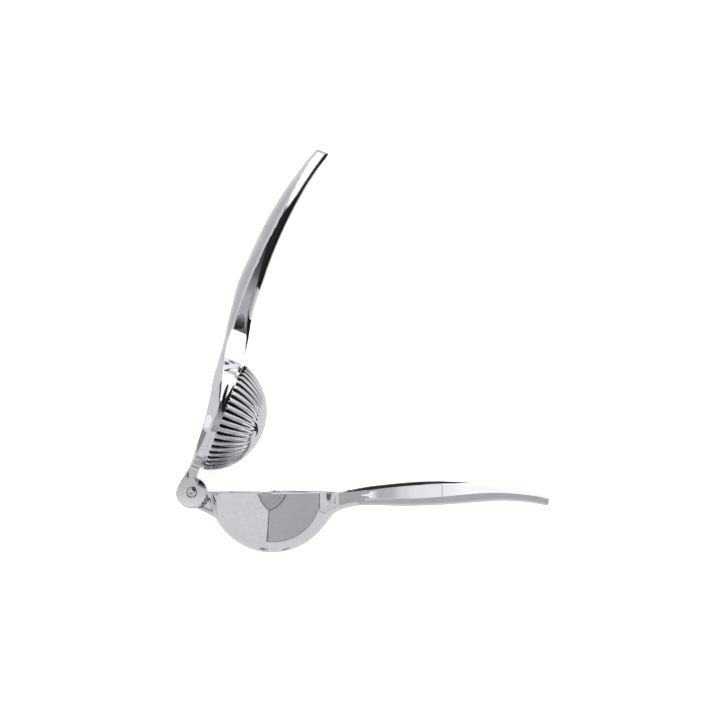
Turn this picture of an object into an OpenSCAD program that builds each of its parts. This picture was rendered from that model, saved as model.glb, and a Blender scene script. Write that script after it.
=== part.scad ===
// Hinged lemon squeezer: two cast lever arms on one hinge pin.
// The lower arm carries the strainer bowl, the upper arm carries the fluted
// press cup. Drawn lying open on its side, hinge axis upright along Z.
// Each arm is drawn in its own frame: x runs from the hinge axis to the
// handle tip, y points to the side that meets the other arm, z is across.

/* [Overall] */
// Hinge axis to handle tip on the bowl arm
bowl_arm_len = 214; // [206:1:224]
// Hinge axis to handle tip on the press arm
press_arm_len = 219; // [211:1:229]
// Angle between the two arms as drawn
open_angle = 68.7; // [20:0.1:110]
// Width of each handle at its fullest point
handle_w = 28; // [24:0.5:32]

/* [Bowl] */
// Outer radius of the bowl
bowl_r = 38.2; // [37.6:0.1:39.4]
// Wall thickness of the bowl
bowl_wall = 3; // [2.4:0.1:3.1]
// Number of drain holes in the outer ring
drain_count = 6; // [4:1:8]
// Diameter of each drain hole
drain_d = 4.8; // [3:0.1:5.4]
// Radius of the ring of drain holes
drain_ring_r = 13; // [9:0.5:15]
// Angle of the first drain hole from the handle
drain_start = 51; // [0:1:59]

/* [Press cup] */
// Crest radius of the fluted press cup
cup_r = 35.5; // [34:0.1:35.6]
// Radius of the hollow inside the cup
cup_hollow_r = 31; // [28:0.1:31.2]
// Number of flutes round the cup
flute_count = 44; // [24:2:48]
// Depth of the flutes at the rim
flute_depth = 1.5; // [0.5:0.1:1.6]
// Outer radius of the ring that carries the cup
ring_r = 35; // [34:0.1:35.6]

/* [Hinge] */
// Diameter of the hinge pin
pin_d = 6.2; // [4:0.1:8]
// Radial running clearance of the pin in the knuckle
pin_clear = 0.05; // [0.02:0.01:0.09]
// Radius of the two ears on the press arm
ear_r = 9.1; // [8:0.1:9.2]
// Total width over the two ears
hinge_w = 22; // [20:0.5:26]
// Width of the middle knuckle on the bowl arm
knuckle_w = 12; // [8:0.5:12.5]

/* [Hidden] */
$fn = 96;

chrome = [0.80, 0.81, 0.83];
satin = [0.66, 0.67, 0.68];
steel = [0.74, 0.73, 0.69];

side_gap = 0.3;                      // air on each side of the knuckle
ear_in = knuckle_w / 2 + side_gap;   // inner face of an ear
ear_out = hinge_w / 2;               // outer face of an ear
neck_hw = ear_out - 0.5;             // half width of an arm at the hinge
heel_r = ear_r + 0.7;                // stop heel on the knuckle
pocket_r = ear_r + 0.9;              // pocket round the ears
slot_r = ear_r + 0.3;                // slot round the knuckle
heel_a = 185;                        // where the heel begins

bowl_x = 48;                         // hinge axis to bowl axis
bowl_rise = 1.8;                     // bowl ball centre above the hinge axis
rim_y = 0.4;                         // plane of the bowl's rim
bowl_in = bowl_r - bowl_wall;

cup_x = 48.7;                        // hinge axis to cup axis
cup_rise = -8.9;                     // cup ball centre behind the hinge axis
flange_r = 33.6;                     // ring face that enters the bowl
flange_y = 1.3;

// the origin is under the middle of the drawn assembly, at table level
x_lo = -heel_r * cos(5);
x_hi = bowl_arm_len;
y_lo = bowl_rise - bowl_r;
y_hi = press_arm_len * sin(open_angle) + 5 * cos(open_angle);
hinge_pos = [-(x_lo + x_hi) / 2, -(y_lo + y_hi) / 2, bowl_r];

// ---- smooth curves through tables -----------------------------------------
function slope(t, i, c) = let (a = max(i - 1, 0), b = min(i + 1, len(t) - 1))
    (t[b][c] - t[a][c]) / (t[b][0] - t[a][0]);
function seg(t, x, i = 0) = (i >= len(t) - 2 || x <= t[i + 1][0]) ? i : seg(t, x, i + 1);
function at(t, x, c) = let (i = seg(t, x), h = t[i + 1][0] - t[i][0],
    s = min(max((x - t[i][0]) / h, 0), 1),
    m0 = slope(t, i, c) * h, m1 = slope(t, i + 1, c) * h)
    (2 * pow(s, 3) - 3 * s * s + 1) * t[i][c] + (pow(s, 3) - 2 * s * s + s) * m0
    + (3 * s * s - 2 * pow(s, 3)) * t[i + 1][c] + (pow(s, 3) - s * s) * m1;

// ---- handle tables: x, inner face, outer face, crease, half width ---------
bowl_handle = [
    [79, 0.2, -20.2, -12, 16.5], [82, 0.3, -16.4, -10, 13.6], [84, 0.3, -14, -8.9, 12.2],
    [87, 0.3, -11.8, -7.8, 10.9], [90, 0.5, -10.4, -7, 10.1], [96, 1.6, -8.9, -5.6, 9.5],
    [102, 2.8, -8.1, -4.7, 10], [108, 3.7, -8.1, -4.1, 11.1], [114, 4.4, -8.2, -3.9, 12.1],
    [126, 5.6, -8.5, -3.9, 13.3], [138, 6.4, -8.3, -3.4, 13.9], [150, 6.6, -7.8, -2.4, 14],
    [162, 6.2, -7, -1.2, 13.8], [174, 5.2, -6, -0.2, 13.4], [186, 3.6, -5.4, -0.2, 12.8],
    [198, 1.6, -6, -1.2, 12.2], [206, 0, -7, -2.4, 11.8], [214, -2.5, -8.6, -4.1, 11.5]];
press_handle = [
    [0, -0.9, -9.2, -8.6, 10.5], [4, -0.8, -8.8, -8.2, 10.5], [9, -0.7, -7.9, -7.2, 10.5],
    [13, -0.7, -7.2, -6.5, 10.7], [18, -0.8, -7, -5.9, 16], [28, -0.8, -7.6, -4.7, 29],
    [36, -0.8, -8.2, -3.5, 32], [42, -0.8, -9, -2.8, 34], [48, -0.8, -9.8, -3.2, 35],
    [54, -0.8, -10.5, -4, 34], [60, -0.8, -11.3, -5, 33], [66, -0.8, -12.3, -6.4, 30],
    [72, -0.8, -13.2, -8.2, 26], [78, -0.8, -13.8, -10, 19], [84, -0.6, -14.4, -11.7, 11.4],
    [90, -0.4, -15.1, -12.9, 10], [96, -1.4, -16.1, -13.3, 9.4], [102, -2.7, -17.1, -13.5, 9.2],
    [108, -4, -17.9, -13.7, 9.5], [114, -5, -18.7, -13.8, 10.6], [120, -5.5, -19.6, -14, 11.8],
    [126, -5.7, -20.1, -14, 12.8], [134, -5.9, -20.1, -13.9, 13.6], [144, -6.3, -19.5, -13.5, 14],
    [156, -6.3, -18.8, -12.7, 14], [168, -5.8, -17.7, -11.4, 13.8], [180, -4.7, -15.9, -10.4, 13.4],
    [192, -3.1, -13.4, -9.4, 12.8], [204, -0.9, -10.1, -8, 12.2], [212, 0.9, -7.7, -6.4, 11.8],
    [219, 2.9, -5.2, -4, 11.5]];
// roundness of the outer face across the arm: x, power
press_round = [[0, 8], [13, 8], [20, 12], [42, 16], [66, 16], [78, 9], [88, 3], [100, 2.2], [219, 2.2]];

// ---- cross-section of an arm: crowned inner face, flat sides, rounded back --
function section(top, bot, crease, hw, crown, p) = let (e = 0.6,
    hi = [for (a = [0 : 22.5 : 90]) let (z = (hw - e) * sin(a)) [top - crown * pow(z / hw, 2), z]],
    lo = [for (a = [90 : -15 : 0]) let (z = hw * sin(a)) [bot + (crease - bot) * pow(z / hw, p), z]],
    half = concat(hi, [[top - crown - e, hw]], lo))
    concat(half, [for (i = [len(half) - 2 : -1 : 1]) [half[i][0], -half[i][1]]]);

module loft(rings) {
    n = len(rings[0]);
    m = len(rings);
    polyhedron(points = [for (r = rings) for (q = r) q],
        faces = concat(
            [for (i = [0 : m - 2]) for (j = [0 : n - 1]) let (k = (j + 1) % n)
                each [[i * n + j, (i + 1) * n + j, i * n + k], [i * n + k, (i + 1) * n + j, (i + 1) * n + k]]],
            [[for (j = [0 : n - 1]) j]],
            [[for (j = [n - 1 : -1 : 0]) (m - 1) * n + j]]));
}

// one ring of an arm, drawn in by d all round
function ring(x_out, top, bot, crease, hw, crown, p, d) = let (c = (top + bot) / 2)
    [for (q = section(top, bot, crease, hw, crown, p))
        [x_out, c + (q[0] - c) * (1 - 2 * d / (top - bot)), q[1] * (1 - d / hw)]];
// crown of the inner face: flat at the bowl or cup, full on the handle, small at the tip
function crown(x, a, b) = 0.1 + 1.4 * min(max((x - a) / 20, 0), 1, max((b + 8 - x) / 45, 0.12));

// ---- bowl arm ----------------------------------------------------------------
function bowl_w(x) = x < 100 ? at(bowl_handle, x, 4)
    : at(bowl_handle, x, 4) * (1 + (handle_w / 28 - 1) * min((x - 100) / 30, 1));
function bowl_x_out(x) = x < 100 ? x : 100 + (x - 100) * (bowl_arm_len - 100) / 114;
function bowl_ring(x, x_out, d) = ring(x_out, at(bowl_handle, x, 1), at(bowl_handle, x, 2),
    at(bowl_handle, x, 3), bowl_w(x), crown(x, 84, 206), 2.2, d);

module bowl_handle_body() {
    xl = [79, 80.5, 82, 83.5, 85, 86.5, 88, 90, 92, 94.5, 97, 100, 104, 108.5, 113, 120, 127, 134, 141, 148,
        155, 162, 168, 175, 182, 189, 196, 201, 205, 209, 212.9];
    loft(concat([for (x = xl) bowl_ring(x, bowl_x_out(x), 0)],
        [bowl_ring(213.6, bowl_x_out(213.7), 0.35), bowl_ring(214, bowl_arm_len, 1)]));
}

module bowl_shell() {
    // outer ball below the rim plane, with a rounded rim
    translate([bowl_x, bowl_rise, 0]) rotate([90, 0, 0]) rotate_extrude($fn = 144)
        intersection() {
            rotate([180, 0, 0]) circle(r = bowl_r);
            translate([0, bowl_rise - rim_y]) square([bowl_r + 1, bowl_r + 5]);
        }
}

module bowl_neck() {
    // wedge between the knuckle and the bowl
    difference() {
        linear_extrude(height = 2 * neck_hw, center = true)
            polygon([[0, 0.2], [18, 0.2], [18, -17.5], [15.5, -15.6], [2.5, -9.4], [0, -9.4]]);
        for (s = [1, -1]) translate([0, 0, s * (knuckle_w / 2 + 10)])
            cylinder(r = pocket_r, h = 20, center = true);
    }
    // the neck swells into the bowl
    linear_extrude(height = 2 * ear_out, center = true)
        polygon([[11.5, 0.2], [20, 0.2], [20, -18], [16.2, -16.3], [12.6, -9]]);
}

module knuckle() {
    cylinder(r = ear_r, h = knuckle_w, center = true);
    // heel that stops the press arm when it is fully open
    intersection() {
        cylinder(r = heel_r, h = knuckle_w, center = true);
        linear_extrude(height = knuckle_w + 1, center = true)
            polygon([[0, 0], [20 * cos(heel_a), 20 * sin(heel_a)], [-20, -20], [20, -20], [20, 0]]);
    }
}

module drain_hole(r, a) {
    translate([bowl_x + r * cos(a), bowl_rise - bowl_r, r * sin(a)]) rotate([90, 0, 0])
        cylinder(d = drain_d, h = 16, center = true, $fn = 48);
}

module bowl_arm() {
    color(chrome) difference() {
        union() {
            bowl_shell();
            bowl_handle_body();
            bowl_neck();
            knuckle();
        }
        translate([bowl_x, bowl_rise, 0]) rotate([90, 0, 0]) rotate_extrude($fn = 144)
            intersection() {
                circle(r = bowl_in);
                translate([0, -bowl_r]) square([bowl_r, 2 * bowl_r]);
            }
        for (i = [0 : drain_count - 1]) drain_hole(drain_ring_r, drain_start + i * 360 / drain_count);
        drain_hole(0, 0);
        cylinder(r = pin_d / 2 + pin_clear, h = hinge_w + 2, center = true, $fn = 64);
    }
}

// ---- press arm ---------------------------------------------------------------
// half width of the arm: hinge block, ring, neck, handle
function ring_hw(x) = let (d = abs(x - cup_x)) d < ring_r ? sqrt(ring_r * ring_r - d * d) : 0;
function block_hw(x) = x < 13 ? neck_hw : neck_hw + (x - 13) * 0.9;
function tail_hw(x) = at(press_handle, x, 4) * (1 + (handle_w / 28 - 1) * min(max((x - 100) / 30, 0), 1));
function press_w(x) = x < 30 ? max(min(block_hw(x), 20), ring_hw(x))
    : x < 76 ? ring_hw(x)
    : x < 88 ? max(ring_hw(x), 10.2 + pow((88 - x) / 3.6, 2)) : tail_hw(x);
function press_x_out(x) = x < 100 ? x : 100 + (x - 100) * (press_arm_len - 100) / 119;
function press_ring(x, x_out, d) = ring(x_out, at(press_handle, x, 1), at(press_handle, x, 2),
    at(press_handle, x, 3), press_w(x), crown(x, 88, 211), at(press_round, x, 1), d);

module press_body() {
    xl = [0, 3, 6, 9, 11, 13, 15, 17, 19, 21.5, 24, 27, 31, 36, 42, 48.7, 55, 61, 66, 70, 73.5, 76, 78, 80,
        82, 84, 86, 88, 91, 94.5, 98, 102, 107, 113, 120, 127, 134, 141, 148, 155, 162, 169, 176, 183, 190,
        197, 203, 208, 213, 217.9];
    loft(concat([for (x = xl) press_ring(x, press_x_out(x), 0)],
        [press_ring(218.6, press_x_out(218.7), 0.35), press_ring(219, press_arm_len, 1)]));
}

// crest radius of the cup at polar angle a above its equator, and its flutes
function crest(a) = min(cup_r * cos(a), flange_r - 0.3);
function fade(a) = a < 48 ? 1 : a > 59 ? 0 : 0.5 + 0.5 * cos((a - 48) / 11 * 180);
function flute(k) = [0, 0.76, 1, 0.76][k % 4];
module press_cup() {
    n = flute_count * 4;
    as = [15, 20, 28, 38, 47, 53, 59, 67, 76, 84];
    rings = [for (a = as) [for (j = [0 : n - 1])
        let (r = crest(a) - flute_depth * fade(a) * (1 - flute(j)), t = j * 360 / n)
        [cup_x + r * cos(t), cup_rise + cup_r * sin(a), -r * sin(t)]]];
    tip = [for (j = [0 : n - 1]) [cup_x + cos(j * 360 / n), cup_rise + cup_r * 0.9996, -sin(j * 360 / n)]];
    loft(concat(rings, [tip]));
}

module ears() {
    for (s = [1, -1]) translate([0, 0, s * (ear_in + ear_out) / 2])
        cylinder(r = ear_r, h = ear_out - ear_in, center = true);
}

module press_arm() {
    color(chrome) difference() {
        union() {
            press_body();
            translate([cup_x, flange_y, 0]) rotate([90, 0, 0]) cylinder(r = flange_r, h = 5, $fn = 144);
            press_cup();
            ears();
        }
        // hollow behind the cup, open at the back
        translate([cup_x, cup_rise, 0]) sphere(r = cup_hollow_r, $fn = 144);
        // slot for the knuckle
        cylinder(r = slot_r, h = 2 * ear_in, center = true);
        translate([-6, -5, 0]) cube([24, 14, 2 * ear_in], center = true);
        // bore for the pin
        cylinder(r = pin_d / 2, h = hinge_w + 2, center = true, $fn = 64);
    }
}

// ---- hinge pin -----------------------------------------------------------------
module hinge_pin() {
    r = pin_d / 2;
    h = ear_out - 0.3;
    color(steel) rotate_extrude($fn = 64)
        polygon([[0, -h + 0.5], [0.9, -h], [r - 0.5, -h], [r, -h + 0.5], [r, h - 0.5], [r - 0.5, h],
            [0.9, h], [0, h - 0.5]]);
}

module place() {
    translate(hinge_pos) children();
}

module lifted() {
    translate(hinge_pos) rotate([0, 0, open_angle]) mirror([0, 1, 0]) children();
}

place() bowl_arm();
lifted() press_arm();
lifted() hinge_pin();
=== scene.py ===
import math

import bpy
import numpy as np
from mathutils import Matrix, Vector


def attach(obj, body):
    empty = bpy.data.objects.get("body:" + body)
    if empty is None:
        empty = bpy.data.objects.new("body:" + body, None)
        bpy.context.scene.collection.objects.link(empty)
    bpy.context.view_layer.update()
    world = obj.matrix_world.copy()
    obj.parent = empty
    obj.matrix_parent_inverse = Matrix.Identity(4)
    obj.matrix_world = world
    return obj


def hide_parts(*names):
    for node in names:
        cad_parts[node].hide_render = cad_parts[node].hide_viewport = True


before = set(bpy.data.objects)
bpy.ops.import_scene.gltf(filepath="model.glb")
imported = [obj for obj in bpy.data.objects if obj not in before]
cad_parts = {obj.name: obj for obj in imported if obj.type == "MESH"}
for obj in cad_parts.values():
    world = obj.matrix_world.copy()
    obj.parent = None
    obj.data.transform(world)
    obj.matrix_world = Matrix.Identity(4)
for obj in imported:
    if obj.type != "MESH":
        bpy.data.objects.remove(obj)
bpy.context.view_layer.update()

# ---------------------------------------------------------------------------
# Numbers repeated from the CAD source, in millimetres.
# Each arm is described in its own frame: x from the hinge axis to the tip,
# y towards the other arm, z across (0 is the middle plane).
# ---------------------------------------------------------------------------
OPEN = math.radians(68.7)
BOWL_LEN, PRESS_LEN = 214.0, 219.0
BOWL_R, BOWL_IN, BOWL_X, BOWL_RISE, RIM_Y = 38.2, 35.2, 48.0, 1.8, 0.4
DRAIN_R, DRAIN_RING, DRAIN_START = 2.4, 13.0, 51.0
CUP_R, HOLLOW_R, CUP_X, CUP_RISE = 35.5, 31.0, 48.7, -8.9
RING_R, FLANGE_R, FLANGE_Y = 35.0, 33.6, 1.3
FLUTES, FLUTE_DEPTH = 44, 1.6
PIN_R, PIN_GAP, EAR_R, HEEL_R, SLOT_R, POCKET_R = 3.1, 0.05, 9.1, 9.8, 9.4, 10.4
KNUCKLE_HW, EAR_IN, EAR_OUT, NECK_HW = 6.0, 6.3, 11.0, 10.5
X_LO, X_HI = -HEEL_R * math.cos(math.radians(5)), BOWL_LEN
Y_LO, Y_HI = BOWL_RISE - BOWL_R, PRESS_LEN * math.sin(OPEN) + 5 * math.cos(OPEN)
HINGE = np.array([-(X_LO + X_HI) / 2, -(Y_LO + Y_HI) / 2, BOWL_R])

# x, inner face, outer face, crease, half width, width of the rounded back, its power
BOWL_HANDLE = np.array([
    [79, 0.4, -20.2, -12, 13.4, 13.4, 2.2], [82, 0.4, -16.4, -10, 12.0, 12.0, 2.2],
    [84, 0.4, -14, -8.9, 11.4, 11.4, 2.2], [87, 0.4, -11.8, -7.8, 10.8, 10.8, 2.2],
    [90, 0.6, -10.4, -7, 10.4, 10.4, 2.2], [96, 1.6, -8.9, -5.6, 9.85, 9.85, 2.2],
    [102, 2.8, -8.1, -4.7, 9.6, 9.6, 2.2], [104.6, 3.25, -8.1, -4.4, 9.95, 9.95, 2.2],
    [108, 3.7, -8.1, -4.1, 11.0, 11.0, 2.2],
    [114, 4.4, -8.2, -3.9, 12.1, 12.1, 2.2], [126, 5.6, -8.5, -3.9, 13.3, 13.3, 2.2],
    [138, 6.4, -8.3, -3.4, 13.9, 13.9, 2.2], [150, 6.6, -7.8, -2.4, 14, 14, 2.2],
    [162, 6.2, -7, -1.2, 13.8, 13.8, 2.2], [174, 5.2, -6, -0.2, 13.4, 13.4, 2.2],
    [186, 3.6, -5.4, -0.2, 12.8, 12.8, 2.2], [198, 1.6, -6, -1.2, 12.2, 12.2, 2.2],
    [206, 0, -7, -2.4, 11.8, 11.8, 2.2], [214, -2.5, -8.6, -4.1, 11.5, 11.5, 2.2]], float)
PRESS_HANDLE = np.array([
    [0, -0.9, -9.2, -8.6, 10.5, 9, 4], [4, -0.8, -8.8, -8.2, 10.5, 9, 4],
    [9, -0.7, -7.9, -7.2, 10.5, 9, 4], [13, -0.7, -7.2, -6.5, 10.5, 8, 3],
    [18, -0.8, -7.1, -5.9, 14, 5, 1.8], [28, -0.8, -7.3, -4.7, 14, 3.4, 1.3],
    [36, -0.8, -7.6, -3.6, 14, 3, 1.2], [44, -0.8, -8.3, -2.9, 14, 3, 1.2],
    [52, -0.8, -9.3, -3.7, 14, 3, 1.2], [60, -0.8, -10.7, -5, 14, 3, 1.2],
    [66, -0.8, -12, -6.4, 14, 3, 1.2], [72, -0.8, -13, -8.2, 13.2, 3.4, 1.3],
    [78, -0.8, -13.8, -10, 12, 5, 1.6], [84, -0.6, -14.4, -11.7, 10.9, 8, 2],
    [90, -0.4, -15.1, -12.9, 10, 10, 2.2], [96, -1.4, -16.1, -13.3, 9.4, 9.4, 2.2],
    [102, -2.7, -17.1, -13.5, 9.2, 9.2, 2.2], [108, -4, -17.9, -13.7, 9.5, 9.5, 2.2],
    [114, -5, -18.7, -13.8, 10.6, 10.6, 2.2], [120, -5.5, -19.6, -14, 11.8, 11.8, 2.2],
    [126, -5.7, -20.1, -14, 12.8, 12.8, 2.2], [134, -5.9, -20.1, -13.9, 13.6, 13.6, 2.2],
    [144, -6.3, -19.5, -13.5, 14, 14, 2.2], [156, -6.3, -18.8, -12.7, 14, 14, 2.2],
    [168, -5.8, -17.7, -11.4, 13.8, 13.8, 2.2], [180, -4.7, -15.9, -10.4, 13.4, 13.4, 2.2],
    [192, -3.1, -13.4, -9.4, 12.8, 12.8, 2.2], [204, -0.9, -10.1, -8, 12.2, 12.2, 2.2],
    [212, 0.9, -7.7, -6.4, 11.8, 11.8, 2.2], [219, 2.9, -5.2, -4, 11.5, 11.5, 2.2]], float)


# ---------------------------------------------------------------------------
# Shape functions. Each field is below zero in the metal, about one per mm.
# ---------------------------------------------------------------------------
def table_slopes(t):
    n = len(t)
    a, b = np.maximum(np.arange(n) - 1, 0), np.minimum(np.arange(n) + 1, n - 1)
    return (t[b] - t[a]) / (t[b, :1] - t[a, :1])


def at(t, m, x):
    """All columns of the smooth curve through table t at x, and their slopes."""
    i = np.clip(np.searchsorted(t[:, 0], x, "right") - 1, 0, len(t) - 2)
    h = (t[i + 1, 0] - t[i, 0])[:, None]
    s = np.clip((x - t[i, 0])[:, None] / h, 0, 1)
    s2, s3 = s * s, s * s * s
    v = ((2 * s3 - 3 * s2 + 1) * t[i] + (s3 - 2 * s2 + s) * m[i] * h
         + (3 * s2 - 2 * s3) * t[i + 1] + (s3 - s2) * m[i + 1] * h)
    d = ((6 * s2 - 6 * s) * t[i] / h + (3 * s2 - 4 * s + 1) * m[i]
         + (6 * s - 6 * s2) * t[i + 1] / h + (3 * s2 - 2 * s) * m[i + 1])
    d = np.where((x < t[0, 0])[:, None] | (x > t[-1, 0])[:, None], 0, d)
    return v.T, d.T


def rmax(a, b, r):
    """Both, with the edge between them rounded to radius r."""
    return np.minimum(np.maximum(a, b), -r) + np.hypot(np.maximum(a + r, 0), np.maximum(b + r, 0))


def rmin(a, b, r):
    """Either, with a fillet of radius r between them."""
    return -rmax(-a, -b, r)


def smin(a, b, k):
    """Either, flowing softly into each other over about k."""
    h = np.maximum(k - np.abs(a - b), 0) / k
    return np.minimum(a, b) - h * h * h * k / 6


def smax(a, b, k):
    return -smin(-a, -b, k)


def sides_and_back(v, d, y, e, side, r_crease):
    """An arm's upright sides and its rounded or bevelled back."""
    bot, crease, w, q = v[2], v[3], v[5], v[6]
    s = np.clip(e / w, 0, 1)
    drop = (crease - bot) * (1 - (1 - s) ** q)
    steep = (crease - bot) * q * (1 - s) ** (q - 1) / w
    outside = np.minimum(e, 0)
    back = (crease - drop - outside * steep - y) / np.sqrt(1 + steep ** 2 + d[2] ** 2)
    return rmax(side, back, r_crease)


def inner_face(v, d, y, az, crown, hw):
    """The crowned face that looks at the other arm."""
    t = np.clip(az / hw, 0, 1.2)
    return (y - v[1] + crown * t * t) / np.sqrt(1 + (2 * crown * t / hw) ** 2 + d[1] ** 2)


def crown_of(x, a, b):
    return 0.1 + 1.4 * np.minimum(np.clip((x - a) / 20, 0, 1), np.maximum((b + 8 - x) / 45, 0.12))


BOWL_M, PRESS_M = table_slopes(BOWL_HANDLE), table_slopes(PRESS_HANDLE)


def bowl_field(p):
    x, y, z = p[:, 0], p[:, 1], p[:, 2]
    az = np.abs(z)
    rk = np.hypot(x, y)
    # bowl ball, flowing into the handle
    rb = np.sqrt((x - BOWL_X) ** 2 + (y - BOWL_RISE) ** 2 + z * z)
    v, d = at(BOWL_HANDLE, BOWL_M, x)
    hw = v[4]
    side = (az - hw) / np.sqrt(1 + d[4] ** 2)
    body = sides_and_back(v, d, y, hw - az, side, 0.5)
    body = np.maximum(rmax(body, x - BOWL_LEN, 1.3), 66 - x)
    metal = smin(rb - BOWL_R, body, 1.7)
    # neck between the knuckle and the bowl, with a pocket round each ear
    line = (-(y + 9.4) - 0.4769 * (x - 2.5)) / math.hypot(1, 0.4769)
    neck = rmax(line, az - NECK_HW, 0.9)
    neck = np.maximum(np.maximum(neck, -x), x - 24)
    pocket = rmax(rk - POCKET_R, KNUCKLE_HW - az, 0.3)
    neck = rmax(neck, -pocket, 0.35)
    flare = rmax(line, az - EAR_OUT - 0.03 * (x - 11), 0.8)
    flare = np.maximum(flare, np.maximum(11.8 - x - 0.3 * np.abs(y + 9), x - 26))
    metal = smin(metal, smin(neck, flare, 0.6), 2.2)
    metal = np.maximum(metal, -rmax(rk - EAR_R - 0.45, KNUCKLE_HW - az, 0.3))
    # inner face: the bowl's rim, level with the neck and the root of the handle
    face = inner_face(v, d, y, az, crown_of(x, 86, 206), hw)
    metal = rmax(metal, face, 0.35 + 1.25 * np.clip((x - 82) / 26, 0, 1))
    # knuckle with its stop heel
    heel = np.maximum(y + 0.087 * np.minimum(x, 0), rk - HEEL_R)
    knuckle = rmax(smin(rk - EAR_R, heel, 0.5), az - KNUCKLE_HW, 0.4)
    metal = smin(metal, knuckle, 0.5)
    # the cavity with its rounded lip
    metal = rmax(metal, BOWL_IN - rb, 0.8)
    # drain holes, each with a softened edge
    holes = np.hypot(x - BOWL_X, z) - DRAIN_R
    for i in range(6):
        a = math.radians(DRAIN_START + 60 * i)
        holes = np.minimum(holes, np.hypot(x - BOWL_X - DRAIN_RING * math.cos(a), z - DRAIN_RING * math.sin(a)) - DRAIN_R)
    holes = np.where(y < -10, holes, 5.0)
    metal = rmax(metal, -holes, 0.45)
    return rmax(metal, PIN_R + PIN_GAP - rk, 0.25)


def flutes(x, y, z):
    """How far the flutes have faded in at a point of the cup, and their depth there."""
    polar = np.degrees(np.arctan2(y - CUP_RISE, np.hypot(x - CUP_X, z)))
    turn = np.arctan2(z, x - CUP_X)
    fade = np.clip((60 - polar) / 13, 0, 1)
    fade = fade * fade * (3 - 2 * fade)
    fade = fade * np.clip((y - FLANGE_Y + 0.1) / 0.4, 0, 1)
    # round ribs with narrow grooves between them
    rib = np.minimum(np.sqrt(np.sin(turn * FLUTES / 2) ** 2 + 0.003), 1)
    groove = 1 - np.sqrt(np.maximum(1 - (1 - rib) ** 2 * 0.985, 0))
    return fade, FLUTE_DEPTH * fade * (0.45 * (1 - rib) + 0.55 * groove / 0.878)


def groove_shade(v):
    """Mask of the shade painted into the flutes: 1 in the depth of a flute, 0 on its ribs; narrower towards the
    crown of the cup.
    """
    x, y, z = v.T
    cut = flutes(x, y, z)[1] / FLUTE_DEPTH
    rise = np.degrees(np.arctan2(y - CUP_RISE, np.hypot(x - CUP_X, z)))
    least = 0.17 + 0.42 * np.clip((rise - 22) / 32, 0, 1)
    on_cup = (y > FLANGE_Y + 0.15) & (np.sqrt((x - CUP_X) ** 2 + (y - CUP_RISE) ** 2 + z * z) > CUP_R - 2.4)
    return np.where(on_cup, np.clip((cut - least) / 0.16 + 0.5, 0, 1), 0.0)


def press_field(p):
    x, y, z = p[:, 0], p[:, 1], p[:, 2]
    az = np.abs(z)
    v, d = at(PRESS_HANDLE, PRESS_M, x)
    # plan outline: hinge block, flare, ring, handle
    rc = np.hypot(x - CUP_X, z)
    ring = rc - RING_R
    tail = (az - v[4]) / np.sqrt(1 + d[4] ** 2)
    tail = np.maximum(tail, 66 - x)
    hinge_hw = NECK_HW + 0.38
    block = np.minimum(az - hinge_hw, (az - hinge_hw - 0.9 * (x - 12.9)) / 1.345)
    block = np.maximum(block, x - 26)
    plan = smin(smin(ring, tail, 7.0), block, 1.2)
    hw = np.where(x > 84, v[4], RING_R)
    r_top = 0.12 + 1.48 * np.clip((x - 86) / 26, 0, 1)
    body = sides_and_back(v, d, y, -plan, plan, 0.45)
    body = rmax(body, inner_face(v, d, y, az, crown_of(x, 88, 211), hw), r_top)
    body = rmax(body, x - PRESS_LEN, 1.3)
    body = np.maximum(body, -x)
    # flange and the fluted cup
    flange = rmax(rc - FLANGE_R, np.maximum(y - FLANGE_Y, -3.7 - y), 0.15)
    rs = np.sqrt((x - CUP_X) ** 2 + (y - CUP_RISE) ** 2 + z * z)
    fade, cut = flutes(x, y, z)
    cup = smax(rs - CUP_R, rc - FLANGE_R, 0.6) + cut
    cup = cup / np.sqrt(1 + (0.8 * fade) ** 2)
    cup = np.maximum(cup, -2.0 - y)
    metal = smin(body, flange, 0.12)
    metal = np.minimum(metal, cup)
    # ears, a little proud of the arm
    rk = np.hypot(x, y)
    ears = rmax(rk - EAR_R, az - EAR_OUT, 0.3)
    metal = smin(metal, ears, 0.7)
    # hollow behind the cup
    metal = rmax(metal, HOLLOW_R - rs, 0.4)
    # slot for the knuckle and the bore for the pin
    slot = np.minimum(rk - SLOT_R, np.maximum(np.maximum(-16.2 - x, x - 6), np.maximum(-12 - y, y - 2)))
    slot = rmax(slot, az - EAR_IN, 0.3)
    metal = rmax(metal, -slot, 0.3)
    return rmax(metal, PIN_R - rk, 0.35)


# ---------------------------------------------------------------------------
# Surface extraction: one vertex per crossed cell, placed on the edges' planes
# so that creases stay crisp, then pulled onto the surface.
# ---------------------------------------------------------------------------
def gradient(field, p, h=0.02):
    g = np.empty_like(p)
    for k in range(3):
        s = np.zeros(3)
        s[k] = h
        g[:, k] = (field(p + s) - field(p - s)) / (2 * h)
    return g


def in_parts(fn, p, size=400000):
    return np.concatenate([fn(p[i:i + size]) for i in range(0, len(p), size)]) if len(p) else np.zeros((0,))


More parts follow.
